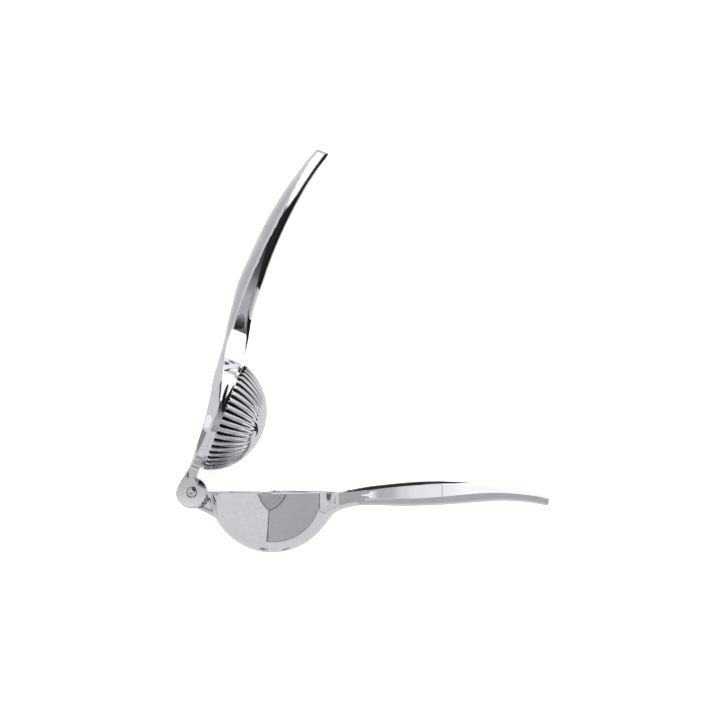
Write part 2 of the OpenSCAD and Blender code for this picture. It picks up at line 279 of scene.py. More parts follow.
def sample(field, axes):
    """The field at every grid corner near the surface; far corners only get its sign right."""
    n = [len(a) for a in axes]
    out = np.empty(n, np.float32)
    step = 6
    starts = [np.arange(0, m, step) for m in n]
    mids = [a[np.minimum(s + step // 2, len(a) - 1)] for a, s in zip(axes, starts)]
    half = [np.array([max(abs(a[min(s + step, len(a) - 1)] - c), abs(a[s] - c)) for s, c in zip(st, mi)])
            for a, st, mi in zip(axes, starts, mids)]
    gx, gy, gz = np.meshgrid(*mids, indexing="ij")
    hx, hy, hz = np.meshgrid(*half, indexing="ij")
    f = in_parts(field, np.stack([gx.ravel(), gy.ravel(), gz.ravel()], 1)).reshape(gx.shape)
    near = np.abs(f) < 1.6 * np.sqrt(hx ** 2 + hy ** 2 + hz ** 2)
    for i, j, k in np.argwhere(~near):
        out[starts[0][i]:starts[0][i] + step, starts[1][j]:starts[1][j] + step, starts[2][k]:starts[2][k] + step] = f[i, j, k]
    blocks = np.argwhere(near)
    for first in range(0, len(blocks), 1500):
        pts, where = [], []
        for i, j, k in blocks[first:first + 1500]:
            r = [np.arange(s[m], min(s[m] + step, c)) for s, m, c in zip(starts, (i, j, k), n)]
            g = np.meshgrid(*r, indexing="ij")
            where.append(np.stack([q.ravel() for q in g], 1))
        where = np.concatenate(where)
        pts = np.stack([axes[a][where[:, a]] for a in range(3)], 1)
        out[where[:, 0], where[:, 1], where[:, 2]] = field(pts)
    return out


def untangle(F):
    """Where the signs on a grid square cross like a chessboard, flip its weakest corner."""
    for _ in range(12):
        inside = F < 0
        flips = []
        for a, b in ((0, 1), (1, 2), (0, 2)):
            cut = []
            for da, db in ((0, 0), (1, 0), (0, 1), (1, 1)):
                s = [slice(None)] * 3
                s[a], s[b] = slice(da, F.shape[a] - 1 + da), slice(db, F.shape[b] - 1 + db)
                cut.append(tuple(s))
            i00, i10, i01, i11 = (inside[c] for c in cut)
            where = np.argwhere((i00 == i11) & (i10 == i01) & (i00 != i10))
            if len(where):
                offsets = np.array([[0, 0], [1, 0], [0, 1], [1, 1]])
                corner = np.repeat(where[:, None, :], 4, axis=1)
                corner[:, :, a] += offsets[:, 0]
                corner[:, :, b] += offsets[:, 1]
                size = np.abs(F[corner[..., 0], corner[..., 1], corner[..., 2]])
                flips.append(corner[np.arange(len(where)), size.argmin(1)])
        if not flips:
            break
        f = np.unique(np.concatenate(flips), axis=0)
        old = F[f[:, 0], f[:, 1], f[:, 2]]
        F[f[:, 0], f[:, 1], f[:, 2]] = np.where(old < 0, 0.01, -0.01)
    return F


def surface(field, axes):
    """Vertices, quads and face corner normals of the field's zero surface on a rectilinear grid."""
    F = sample(field, axes)
    F[F == 0] = 1e-6
    F = untangle(F)
    inside = F < 0
    n = np.array(F.shape)
    cells = n - 1
    hits, owners, quads = [], [], []
    for a in range(3):
        b, c = (a + 1) % 3, (a + 2) % 3
        lo = [slice(None)] * 3
        hi = [slice(None)] * 3
        lo[a], hi[a] = slice(0, -1), slice(1, None)
        change = inside[tuple(lo)] != inside[tuple(hi)]
        idx = np.argwhere(change)
        ok = (idx[:, b] > 0) & (idx[:, b] < n[b] - 1) & (idx[:, c] > 0) & (idx[:, c] < n[c] - 1)
        idx = idx[ok]
        far = idx.copy()
        far[:, a] += 1
        p0 = np.stack([axes[k][idx[:, k]] for k in range(3)], 1)
        p1 = np.stack([axes[k][far[:, k]] for k in range(3)], 1)
        f0 = F[tuple(idx.T)].astype(float)
        f1 = F[tuple(far.T)].astype(float)
        t0, t1 = np.zeros(len(idx)), np.ones(len(idx))
        for _ in range(3):
            t = np.clip(t0 + (t1 - t0) * f0 / (f0 - f1), 0, 1)
            fm = in_parts(field, p0 + (p1 - p0) * t[:, None])
            same = (fm < 0) == (f0 < 0)
            t0, f0 = np.where(same, t, t0), np.where(same, fm, f0)
            t1, f1 = np.where(same, t1, t), np.where(same, f1, fm)
        t = np.clip(t0 + (t1 - t0) * f0 / np.where(f0 == f1, 1, f0 - f1), 0, 1)
        p = p0 + (p1 - p0) * t[:, None]
        corners = []
        for db, dc in ((-1, -1), (0, -1), (0, 0), (-1, 0)):
            cell = idx.copy()
            cell[:, b] += db
            cell[:, c] += dc
            corners.append((cell[:, 0] * cells[1] + cell[:, 1]) * cells[2] + cell[:, 2])
            hits.append(p)
            owners.append(corners[-1])
        q = np.stack(corners, 1)
        out = inside[tuple(idx.T)]
        quads.append(np.where(out[:, None], q, q[:, ::-1]))
    quads = np.concatenate(quads)
    owners = np.concatenate(owners)
    count = len(owners) // 12
    points = np.concatenate(hits)
    used, owner = np.unique(owners, return_inverse=True)
    # gradients once per crossing: hits holds each direction's points four times
    grads, first = [], 0
    for a in range(3):
        m = len(hits[4 * a])
        g = in_parts(lambda q: gradient(field, q), hits[4 * a])
        g /= np.maximum(np.linalg.norm(g, axis=1), 1e-9)[:, None]
        grads += [g] * 4
    g = np.concatenate(grads)
    size = len(used)
    number = np.bincount(owner, minlength=size).astype(float)
    mean = np.stack([np.bincount(owner, points[:, k], size) for k in range(3)], 1) / number[:, None]
    rel = points - mean[owner]
    side = (g * rel).sum(1)
    A = np.empty((size, 3, 3))
    B = np.empty((size, 3))
    for i in range(3):
        B[:, i] = np.bincount(owner, g[:, i] * side, size)
        for j in range(i, 3):
            A[:, i, j] = A[:, j, i] = np.bincount(owner, g[:, i] * g[:, j], size)
    A += np.eye(3) * 0.06 * number[:, None, None]
    v = mean + np.linalg.solve(A, B[:, :, None])[:, :, 0]
    cz = used % cells[2]
    cy = (used // cells[2]) % cells[1]
    cx = used // (cells[1] * cells[2])
    for k, ci in enumerate((cx, cy, cz)):
        lo, hi = axes[k][ci], axes[k][ci + 1]
        v[:, k] = np.clip(v[:, k], lo + 0.02 * (hi - lo), hi - 0.02 * (hi - lo))
    lookup = np.searchsorted(used, quads)
    gv = in_parts(lambda q: gradient(field, q), v)
    fv = in_parts(field, v)
    length = np.maximum(np.linalg.norm(gv, axis=1), 0.3)
    step = np.clip(fv / length, -0.12, 0.12)
    v = v - gv / length[:, None] * step[:, None]
    normal = in_parts(lambda q: gradient(field, q, 0.05), v)
    normal /= np.maximum(np.linalg.norm(normal, axis=1), 1e-9)[:, None]
    # one normal per face corner, so that an edge between two faces stays sharp round the head
    flat = in_parts(lambda q: gradient(field, q, 0.05), v[lookup].mean(1))
    flat = flat[:, None] / np.maximum(np.linalg.norm(flat, axis=1), 1e-9)[:, None, None]
    corner = normal[lookup]
    away = np.clip((0.93 - (corner * flat).sum(2)) / 0.05, 0, 1)[..., None]
    away *= np.clip((94 - v[lookup][..., :1]) / 6, 0, 1)
    corner = corner * (1 - away) + flat * away
    corner /= np.maximum(np.linalg.norm(corner, axis=2), 1e-9)[..., None]
    return v, lookup, corner


def graded(pieces):
    """Grid lines along one axis: [(from, to, step), ...]."""
    out = [np.array([pieces[0][0]])]
    for lo, hi, step in pieces:
        m = max(int(round((hi - lo) / step)), 1)
        out.append(np.linspace(lo, hi, m + 1)[1:])
    return np.concatenate(out)


def to_row(v, normal, quads, lifted):
    """Arm frame in millimetres to the shared frame in metres."""
    c, s = math.cos(OPEN), math.sin(OPEN)
    R = np.array([[c, s, 0], [s, -c, 0], [0, 0, 1]]) if lifted else np.eye(3)
    if lifted:
        quads, normal = quads[:, ::-1], normal[:, ::-1]
    return (v @ R.T + HINGE) / 1000, normal @ R.T, quads


def make_mesh(name, v, quads, normal, shade=None):
    mesh = bpy.data.meshes.new(name)
    mesh.vertices.add(len(v))
    mesh.vertices.foreach_set("co", v.astype(np.float32).ravel())
    mesh.loops.add(quads.size)
    mesh.loops.foreach_set("vertex_index", quads.astype(np.int32).ravel())
    mesh.polygons.add(len(quads))
    mesh.polygons.foreach_set("loop_start", np.arange(0, quads.size, quads.shape[1], dtype=np.int32))
    mesh.update(calc_edges=True)
    mesh.validate()
    mesh.polygons.foreach_set("use_smooth", np.ones(len(mesh.polygons), bool))
    mesh.normals_split_custom_set(normal.reshape(-1, 3).astype(np.float32))
    if shade is not None:
        mesh.attributes.new("groove", "FLOAT", "POINT").data.foreach_set("value", shade.astype(np.float32))
    mesh.update()
    ob = bpy.data.objects.new(name, mesh)
    bpy.context.scene.collection.objects.link(ob)
    return ob


# fmt: off
BOWL_AXES = (
    graded([(-11.3, 88, 0.62), (88, 215.2, 0.85)]),
    graded([(-37.6, 10.0, 0.62)]),
    graded([(-39.4, 39.4, 0.62)]))
PRESS_AXES = (
    graded([(-10.4, 90, 0.56), (90, 220.2, 0.9)]),
    graded([(-21.6, -1.2, 0.68), (-1.2, 28.4, 0.56)]),
    graded([(-36.4, 36.4, 0.56)]))
# fmt: on


# ---------------------------------------------------------------------------
# Materials: every one is made of nodes and uses object coordinates only.
# ---------------------------------------------------------------------------
class Nodes:
    """A short way to write a node tree."""

    def __init__(self, owner):
        owner.use_nodes = True
        self.tree = owner.node_tree
        self.tree.nodes.clear()

    def add(self, kind, inputs=None, **props):
        node = self.tree.nodes.new(kind)
        for k, v in props.items():
            setattr(node, k, v)
        for k, v in (inputs or {}).items():
            if isinstance(v, bpy.types.NodeSocket):
                self.tree.links.new(v, node.inputs[k])
            else:
                node.inputs[k].default_value = v
        return node

    def math(self, op, a, b=None, c=None, clamp=False):
        node = self.add("ShaderNodeMath", operation=op, use_clamp=clamp)
        for i, v in enumerate((a, b, c)):
            if v is None:
                continue
            if isinstance(v, bpy.types.NodeSocket):
                self.tree.links.new(v, node.inputs[i])
            else:
                node.inputs[i].default_value = v
        return node.outputs[0]

    def ramp(self, value, low, high, to_low=0.0, to_high=1.0, smooth=True):
        node = self.add("ShaderNodeMapRange", {"Value": value, "From Min": low, "From Max": high,
                                               "To Min": to_low, "To Max": to_high})
        node.interpolation_type = "SMOOTHSTEP" if smooth else "LINEAR"
        return node.outputs["Result"]

    def noise(self, vector, scale, detail=2.0, rough=0.5):
        return self.add("ShaderNodeTexNoise", {"Vector": vector, "Scale": scale, "Detail": detail,
                                               "Roughness": rough}).outputs["Fac"]

    def stretched(self, vector, turn, scale):
        node = self.add("ShaderNodeMapping", {"Vector": vector, "Rotation": turn, "Scale": scale})
        return node.outputs["Vector"]

    def mix(self, f, a, b):
        node = self.add("ShaderNodeMix", data_type="RGBA")
        for name, v in (("Factor", f), ("A", a), ("B", b)):
            sock = [s for s in node.inputs if s.name == name and s.enabled][0]
            if isinstance(v, bpy.types.NodeSocket):
                self.tree.links.new(v, sock)
            else:
                sock.default_value = v
        return [s for s in node.outputs if s.enabled][0]


def scratches(n, vector, turn, scale, width):
    """Thin straight hairlines in one direction: 1 on a line, 0 off it."""
    lines = n.noise(n.stretched(vector, turn, (scale, scale, scale * 0.012)), 1.0, 2.0, 0.6)
    return n.ramp(n.math("ABSOLUTE", n.math("SUBTRACT", lines, 0.5)), 0.0, width, 1.0, 0.0)


def metal(name, colour, worn, rough, rough_more, wave, grain, lines, flute_shade_colour=None, ground=False, rim=None):
    """Polished or ground metal. wave is slow casting waviness, grain fine pits, lines hairlines, all in metres."""
    mat = bpy.data.materials.new(name)
    n = Nodes(mat)
    xyz = n.add("ShaderNodeTexCoord").outputs["Object"]
    cloud = n.noise(xyz, 45.0, 3.0, 0.55)
    fine = n.noise(xyz, 900.0, 3.0, 0.6)
    pits = n.noise(xyz, 2600.0, 2.0, 0.5)
    s1 = scratches(n, xyz, (0.3, 0.2, 0.7), 700.0, 0.006)
    s2 = scratches(n, xyz, (1.2, 0.9, 2.1), 620.0, 0.005)
    s3 = scratches(n, xyz, (2.0, 1.7, 0.2), 800.0, 0.005)
    hair = n.math("MULTIPLY", n.math("MAXIMUM", s1, n.math("MAXIMUM", s2, s3)), n.ramp(cloud, 0.42, 0.62))
    tint = n.mix(n.ramp(cloud, 0.35, 0.7), (*colour, 1), (*worn, 1))
    r = n.math("ADD", n.ramp(n.math("ADD", n.math("MULTIPLY", cloud, 0.6), n.math("MULTIPLY", fine, 0.4)),
                             0.35, 0.65, rough, rough + rough_more),
               n.math("MULTIPLY", hair, rough_more))
    if flute_shade_colour is not None:
        # painted shade: down in the flutes the colour goes near black, with a little more roughness there
        depth = n.add("ShaderNodeAttribute", attribute_type="GEOMETRY", attribute_name="groove").outputs["Fac"]
        tint = n.mix(depth, tint, (*flute_shade_colour, 1))
        r = n.math("ADD", r, n.math("MULTIPLY", depth, 0.05))
    from_axis = n.add("ShaderNodeVectorMath", {0: n.add("ShaderNodeVectorMath", {0: xyz, 1: tuple(HINGE / 1000)}, operation="SUBTRACT").outputs[0],
                                               1: (1000.0, 1000.0, 0.0)}, operation="MULTIPLY").outputs[0]
    radius = n.add("ShaderNodeVectorMath", {0: from_axis}, operation="LENGTH").outputs["Value"]
    if ground:
        # the hinge end is ground flat and only half polished, fading into the arm
        near = n.ramp(n.math("ADD", radius, n.math("MULTIPLY", cloud, 2.0)), 9.6, 12.6, 1.0, 0.0)
        r = n.math("ADD", r, n.math("MULTIPLY", near, 0.085))
    if rim is not None:
        # painted shade: a near-black ring at the pin's rounded rim, next to its bore, broken up by noise
        edge = n.math("MULTIPLY", n.ramp(radius, 2.5, 2.95), n.ramp(n.noise(xyz, 240.0, 2.0, 0.5), 0.42, 0.56))
        tint = n.mix(edge, tint, (*rim, 1))
    slow = n.noise(xyz, 70.0, 1.0, 0.4)
    b1 = n.add("ShaderNodeBump", {"Height": slow, "Strength": 1.0, "Distance": wave})
    b2 = n.add("ShaderNodeBump", {"Height": pits, "Strength": 1.0, "Distance": grain, "Normal": b1.outputs[0]})
    b3 = n.add("ShaderNodeBump", {"Height": n.math("SUBTRACT", 1.0, hair), "Strength": 1.0, "Distance": lines,
                                  "Normal": b2.outputs[0]})
    shader = n.add("ShaderNodeBsdfPrincipled", {"Base Color": tint, "Roughness": r, "Normal": b3.outputs[0]})
    shader.inputs["Metallic"].default_value = 1.0
    n.add("ShaderNodeOutputMaterial", {"Surface": shader.outputs[0]})
    return mat


# the near-black colour among chrome's arguments is the shade painted into the flutes' depths
chrome = metal("polished_chrome", (0.83, 0.84, 0.86), (0.79, 0.80, 0.82), 0.035, 0.035, 0.00002, 0.0000006, 0.000001,
               (0.014, 0.014, 0.016), True)
satin = metal("ground_satin", (0.60, 0.60, 0.605), (0.52, 0.52, 0.525), 0.24, 0.10, 0.00001, 0.000004, 0.000004)
bore = metal("drain_bore", (0.80, 0.80, 0.80), (0.60, 0.60, 0.60), 0.10, 0.10, 0.00002, 0.000006, 0.000004)
# the pin's rim colour is the near-black painted shade round its rim, next to the bore
steel = metal("pin_steel", (0.80, 0.79, 0.765), (0.56, 0.545, 0.51), 0.07, 0.11, 0.00030, 0.000012, 0.000006,
              rim=(0.05, 0.048, 0.045))


# ---------------------------------------------------------------------------
# The pieces
# ---------------------------------------------------------------------------
def pin_rings():
    """Half outline of the pin, from one end's middle to the other's, in mm: (radius, height)."""
    h = EAR_OUT - 0.3
    end = [(0.0, h - 0.42), (0.35, h - 0.40), (0.7, h - 0.30), (0.95, h - 0.12), (1.15, h - 0.03), (1.5, h),
           (2.1, h - 0.01), (2.45, h - 0.05), (2.72, h - 0.16), (2.9, h - 0.32), (3.02, h - 0.55), (3.08, h - 0.85),
           (3.1, h - 1.3)]
    return end + [(3.1, z) for z in np.linspace(h - 2.5, -h + 2.5, 9)] + [(r, -z) for r, z in end[::-1]]


def pin_mesh(name):
    rings, sides = pin_rings(), 72
    v, n, faces = [], [], []
    pts = np.array(rings)
    tan = np.gradient(pts, axis=0)
    for (r, z), (dr, dz) in zip(rings, tan):
        length = math.hypot(dr, dz)
        nr, nz = -dz / length, dr / length
        for k in range(sides if r > 0 else 1):
            a = 2 * math.pi * k / sides
            v.append((r * math.cos(a), r * math.sin(a), z))
            n.append((nr * math.cos(a), nr * math.sin(a), nz) if r > 0 else (0, 0, math.copysign(1, z)))
    v, n = np.array(v), np.array(n)
    first = [0]
    for r, z in rings:
        first.append(first[-1] + (sides if r > 0 else 1))
    for i in range(len(rings) - 1):
        a, b = first[i], first[i + 1]
        for k in range(sides):
            k2 = (k + 1) % sides
            if rings[i][0] == 0:
                faces.append((a, b + k, b + k2))
            elif rings[i + 1][0] == 0:
                faces.append((a + k, b, a + k2))
            else:
                faces.append((a + k, b + k, b + k2, a + k2))
    mesh = bpy.data.meshes.new(name)
    mesh.from_pydata([tuple(p) for p in (v + HINGE) / 1000], [], faces)
    mesh.validate()
    mesh.polygons.foreach_set("use_smooth", np.ones(len(mesh.polygons), bool))
    mesh.update()
    ob = bpy.data.objects.new(name, mesh)
    bpy.context.scene.collection.objects.link(ob)
    return ob


def paint(ob, mats, pick=None):
    for m in mats:
        ob.data.materials.append(m)
    if pick is not None:
        ob.data.polygons.foreach_set("material_index", pick.astype(np.int32))
        ob.data.update()


v, q, nrm = surface(bowl_field, BOWL_AXES)
mid = v[q].mean(1)
pw, nw, qw = to_row(v, nrm, q, False)
bowl = make_mesh("bowl_arm_cast", pw, qw, nw)
hole = np.hypot(mid[:, 0] - BOWL_X, mid[:, 2])
for k in range(6):
    a = math.radians(DRAIN_START + 60 * k)
    hole = np.minimum(hole, np.hypot(mid[:, 0] - BOWL_X - DRAIN_RING * math.cos(a), mid[:, 2] - DRAIN_RING * math.sin(a)))
hole = (hole < DRAIN_R + 0.3) & (mid[:, 1] < -20)
inside = np.sqrt((mid[:, 0] - BOWL_X) ** 2 + (mid[:, 1] - BOWL_RISE) ** 2 + mid[:, 2] ** 2) < BOWL_IN + 0.6
paint(bowl, [chrome, satin, bore], np.where(hole, 2, inside & (mid[:, 1] < -0.6)))
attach(bowl, "bowl_body")
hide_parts("bowl_arm")

v, q, nrm = surface(press_field, PRESS_AXES)
mid = v[q].mean(1)
pw, nw, qw = to_row(v, nrm, q, True)
press = make_mesh("press_arm_cast", pw, qw, nw, groove_shade(v))
paint(press, [chrome])
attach(press, "press_body")
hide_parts("press_arm")

pin = pin_mesh("hinge_pin_riveted")
paint(pin, [steel])
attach(pin, "press_body")
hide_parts("hinge_pin")


# ---------------------------------------------------------------------------
# Stage: a pale floor, a soft tent of plain cards, and small cards close over the arms that paint reflected light and
# shade; the cards only show in the chrome.
# ---------------------------------------------------------------------------
def card(name, corners, tone=None, only_reflected=True, from_below=False, along=None):
    """A flat stage card. tone is a grey, or [(mm, grey), ...] along a direction from the hinge."""
    p = [Vector(c) for c in corners]
    if from_below and sum((a.x * b.y - a.y * b.x) for a, b in zip(p, p[1:] + p[:1])) > 0:
        corners = corners[::-1]
    mesh = bpy.data.meshes.new(name)
    mesh.from_pydata(corners, [], [tuple(range(len(corners)))])
    ob = bpy.data.objects.new(name, mesh)
    bpy.context.scene.collection.objects.link(ob)
    if only_reflected:
        ob.visible_camera = ob.visible_diffuse = ob.visible_transmission = ob.visible_shadow = False
    if tone is not None:
        mat = bpy.data.materials.new(name)
        n = Nodes(mat)
        if along is None:
            glow = n.add("ShaderNodeEmission", {"Color": (tone, tone * 1.005, tone * 1.02, 1), "Strength": 1.0}).outputs[0]
        else:
            place = n.add("ShaderNodeVectorMath", {0: n.add("ShaderNodeTexCoord").outputs["Object"], 1: tuple(HINGE / 1000)}, operation="SUBTRACT").outputs[0]
            at_mm = n.add("ShaderNodeVectorMath", {0: place, 1: tuple(1000 * c for c in along)}, operation="DOT_PRODUCT").outputs["Value"]
            level = tone[0][1]
            for (x0, t0), (x1, t1) in zip(tone, tone[1:]):
                level = n.math("ADD", level, n.ramp(at_mm, x0, x1, 0.0, t1 - t0))
            glow = n.add("ShaderNodeEmission", {"Color": (1.0, 1.005, 1.02, 1), "Strength": level}).outputs[0]
        if from_below:
            clear = n.add("ShaderNodeBsdfTransparent").outputs[0]
            glow = n.add("ShaderNodeMixShader", {"Fac": n.add("ShaderNodeNewGeometry").outputs["Backfacing"], 1: glow, 2: clear}).outputs[0]
        n.add("ShaderNodeOutputMaterial", {"Surface": glow})
        mesh.materials.append(mat)
    return ob


def on_photo(px, py, z=0.0):
    """A point above or below a place in the 724 x 724 frame, in metres."""
    return ((px - 192.2) * 0.6 + HINGE[0]) / 1000, ((492.0 - py) * 0.6 + HINGE[1]) / 1000, z


floor = card("floor", [(-4, -4, -0.0004), (4, -4, -0.0004), (4, 4, -0.0004), (-4, 4, -0.0004)], None, False)
floor.visible_glossy = False
mat = bpy.data.materials.new("pale_floor")
n = Nodes(mat)
xyz = n.add("ShaderNodeTexCoord").outputs["Object"]
speck = n.ramp(n.noise(xyz, 60.0, 4.0, 0.6), 0.3, 0.7, 0.93, 0.955)
shader = n.add("ShaderNodeBsdfPrincipled", {"Base Color": n.add("ShaderNodeCombineColor", {"Red": speck, "Green": speck, "Blue": speck}).outputs[0],
                                            "Roughness": 0.8})
n.add("ShaderNodeOutputMaterial", {"Surface": shader.outputs[0]})
floor.data.materials.append(mat)


# What only the chrome sees: a plain room of pale walls, seen by direction, and the
# flags and bounce cards that stand round the tool. Tones are plain greys.
def past(az, soft=0.02):
    """Directions counter-clockwise of azimuth az."""
    a = math.radians(az)
    return (-math.sin(a), math.cos(a), 0.0, 0.0, soft)


def short(az, soft=0.02):
    a = math.radians(az)
    return (math.sin(a), -math.cos(a), 0.0, 0.0, soft)


def above(th, soft=0.02):
    """Directions closer to the zenith than th."""
    return (0.0, 0.0, 1.0, -math.cos(math.radians(th)), soft)


def below(th, soft=0.02):
    return (0.0, 0.0, -1.0, math.cos(math.radians(th)), soft)


def turned(p, sign=1, off=0.0, soft=None):
    return (p[0] * sign, p[1] * sign, p[2] * sign, p[3] * sign + off, p[4] if soft is None else soft)


def line(p, w):
    """The thin strip along a boundary."""
    return [turned(p, 1, w, 0.008), turned(p, -1, w, 0.008)]


CORNER = (1.0, -0.054, 0.0, 0.047, 0.01)          # right of the corner between the two walls
FLOOR_EDGE = (0.101, -0.377, 1.0, 0.0, 0.02)      # above the line where wall meets floor
CEIL_L = (0.442, 0.088, 0.893, -0.6166, 0.010)
CEIL_R = (-0.2915, 0.1061, 0.9507, -0.7064, 0.010)
TO_FRONT = (0.0, -1.0, 0.0, 0.02, 0.02)
# tone and the sides that bound it; later ones lie over earlier ones
ROOM = [
    (0.45, [CORNER, short(4, 0.02)]),                                                # right wall
    (0.80, [past(4, 0.02), short(52, 0.06)]),                                        # open side
    (1.25, [past(52, 0.06), short(89, 0.02)]),
    (0.32, [past(89, 0.02), short(97, 0.03), below(14, 0.1)]),                       # gap beside the left wall
    (0.02, [past(97, 0.03), short(113, 0.03), below(30, 0.1), above(104, 0.05)]),
    (0.71, [turned(FLOOR_EDGE, -1)]),                                                # floor
    (1.20, [turned(FLOOR_EDGE, -1), past(60, 0.1), short(88.5, 0.01)]),
    (0.39, [CEIL_L, CEIL_R, above(60), TO_FRONT]),                                   # ceiling
    (0.15, line(CORNER, 0.014) + [FLOOR_EDGE, below(37.0, 0.01), TO_FRONT]),         # seams between them
    (0.17, line(FLOOR_EDGE, 0.016) + [CORNER, short(4, 0.03)]),
    (0.15, line(CEIL_L, 0.013) + [turned(CEIL_R, 1, 0.01), TO_FRONT]),
    (0.15, line(CEIL_R, 0.013) + [turned(CEIL_L, 1, 0.01), TO_FRONT]),
    (0.52, [past(135, 0.2), short(176, 0.2), below(92, 0.1), above(126, 0.25)]),     # shaded end of the left wall
]


def on_press_arm(u, n, z):
    """u along the lifted arm, n towards its cup, z above the hinge's middle, in mm."""
    c, s = math.cos(OPEN), math.sin(OPEN)
    return tuple((HINGE + (u * c + n * s, u * s - n * c, z)) / 1000)


def on_bowl_arm(x, y, z):
    return tuple((HINGE + (x, y, z)) / 1000)


def flat(place, a, b, z):
    """A level rectangle from corner a to corner b."""
    return [place(a[0], a[1], z), place(b[0], a[1], z), place(b[0], b[1], z), place(a[0], b[1], z)]


def wall(p, q, z0, z1):
    """An upright card over two places in the frame, from z0 to z1 above the floor."""
    return [on_photo(*p, z0 / 1000), on_photo(*q, z0 / 1000), on_photo(*q, z1 / 1000), on_photo(*p, z1 / 1000)]


def upright(x, outline):
    """A card across the bowl arm's direction at x; its outline is in (y, z)."""
    return [on_bowl_arm(x, y, z) for y, z in outline]


ALONG_BOWL = (1.0, 0.0, 0.0)
ALONG_PRESS = (math.cos(OPEN), math.sin(OPEN), 0.0)


def spot(place, x, y, rx, ry, z, turn=0.0):
    """An oval card."""
    c, s = math.cos(turn), math.sin(turn)
    ring = [(rx * math.cos(k * math.pi / 8), ry * math.sin(k * math.pi / 8)) for k in range(16)]
    return [place(x + a * c - b * s, y + a * s + b * c, z) for a, b in ring]


def crescent(r, depth, a0, a1, z):
    """A card under the hinge's rim, from angle a0 to a1."""
    steps = [a0 + (a1 - a0) * k / 12 for k in range(13)]
    outer = [(r * math.cos(math.radians(a)), r * math.sin(math.radians(a))) for a in steps]
    inner = []
    for a in steps[1:-1]:
        q = r - 0.6 - depth * math.sin(math.pi * (a - a0) / (a1 - a0))
        inner.append((q * math.cos(math.radians(a)), q * math.sin(math.radians(a))))
    return [on_bowl_arm(x, y, z) for x, y in outer + inner[::-1]]


# cards all round: upright flags beside the arms, softboxes high over them
CARDS = [
    ("slat_far", 0.012, wall((271, 294), (290, 240), 22, 62)),
    ("slat_far_2", 0.012, wall((290, 240), (310, 200), 22, 62)),
    ("slat_far_3", 0.012, wall((310, 200), (342, 150), 22, 62)),
    ("ground_dark", 0.012, [on_photo(*p, -0.005) for p in ((261, 288), (273, 288), (290, 240), (310, 200), (342, 150), (331, 148), (300, 194), (279, 236))]),
    ("flag_low", 0.012, wall((262, 322), (262, 350), 0, 62)),
    ("slat_above", 0.03, wall((345, 470), (415, 470), 5, 62)),
    ("slat_above_2", 0.03, [on_photo(415, 470, 0.005), on_photo(474, 470, 0.005), on_photo(474, 470, 0.014), on_photo(446, 470, 0.040), on_photo(415, 470, 0.056)]),
    ("ground_dark_2", 0.03, [on_photo(*p, -0.005) for p in ((345, 470), (446, 470), (446, 479), (400, 481), (345, 488))]),
    ("lip_white", 1.15, wall((285, 480), (338, 480), 40, 75)),
    ("slat_below", 0.47, wall((362, 532), (560, 532), 29, 50)),
    ("slat_below_light", 0.63, wall((362, 532), (560, 532), 6, 29)),
    # ring_flag and the cards down to neck_diamond stand within a few millimetres of the ring, the flare and the
    # neck: they paint reflected shade and light onto them
    ("ring_flag", 0.012, [on_press_arm(u, n, 40) for u, n in ((53, -0.4), (53.7, 0.9), (53, 3.2), (118, 3.2), (118, -0.6), (84, -0.75), (72, -1.0), (66, -1.4),
                                                              (80, -2.3), (95, -3.0), (95, -3.9), (80, -3.9), (67.5, -3.5), (62, -3.0), (57.7, -1.7))]),
    ("flare_shade", 0.36, [on_press_arm(1, n, z) for n, z in ((-12, 13.0), (3, 13.0), (3, 19), (-12, 19))]),
    ("neck_white", 0.69, upright(88, ((1, 10.2), (1, 23.4), (-2.5, 23.1), (-6.7, 22.4), (-10.7, 20.6), (-16, 17.3), (-16, 10.2)))),
    ("neck_seam", 0.17, upright(88, ((1, 23.4), (-2.5, 23.1), (-6.7, 22.4), (-10.7, 20.6), (-16, 17.3), (-16, 18.1), (-10.7, 21.5), (-6.7, 23.3), (-2.5, 24.1), (1, 24.4)))),
    ("neck_diamond", 0.15, upright(85.2, ((-0.6, 12.0), (-0.6, 17.6), (-3.6, 16.8), (-6.2, 14.3), (-4.5, 12.0)))),
    ("bevel_dark", 0.30, upright(-20, ((36, 35), (33, 42), (14, 34), (12, 20), (20, -6), (28, 5), (35, 25)))),
    ("bevel_bright", 1.0, upright(-20.5, ((37, 36), (50, 44), (53, 56), (45, 61), (37, 50)))),
]
for name, tone, corners in CARDS:
    card(name, corners, tone)
card("press_softbox", flat(on_press_arm, (-60, -45), (255, 25), 310),
     [(-60, 0.47), (5, 0.47), (45, 0.36), (75, 0.27), (105, 0.14), (138, 0.07), (206, 0.07), (216, 1.3), (255, 1.3)], along=ALONG_PRESS)
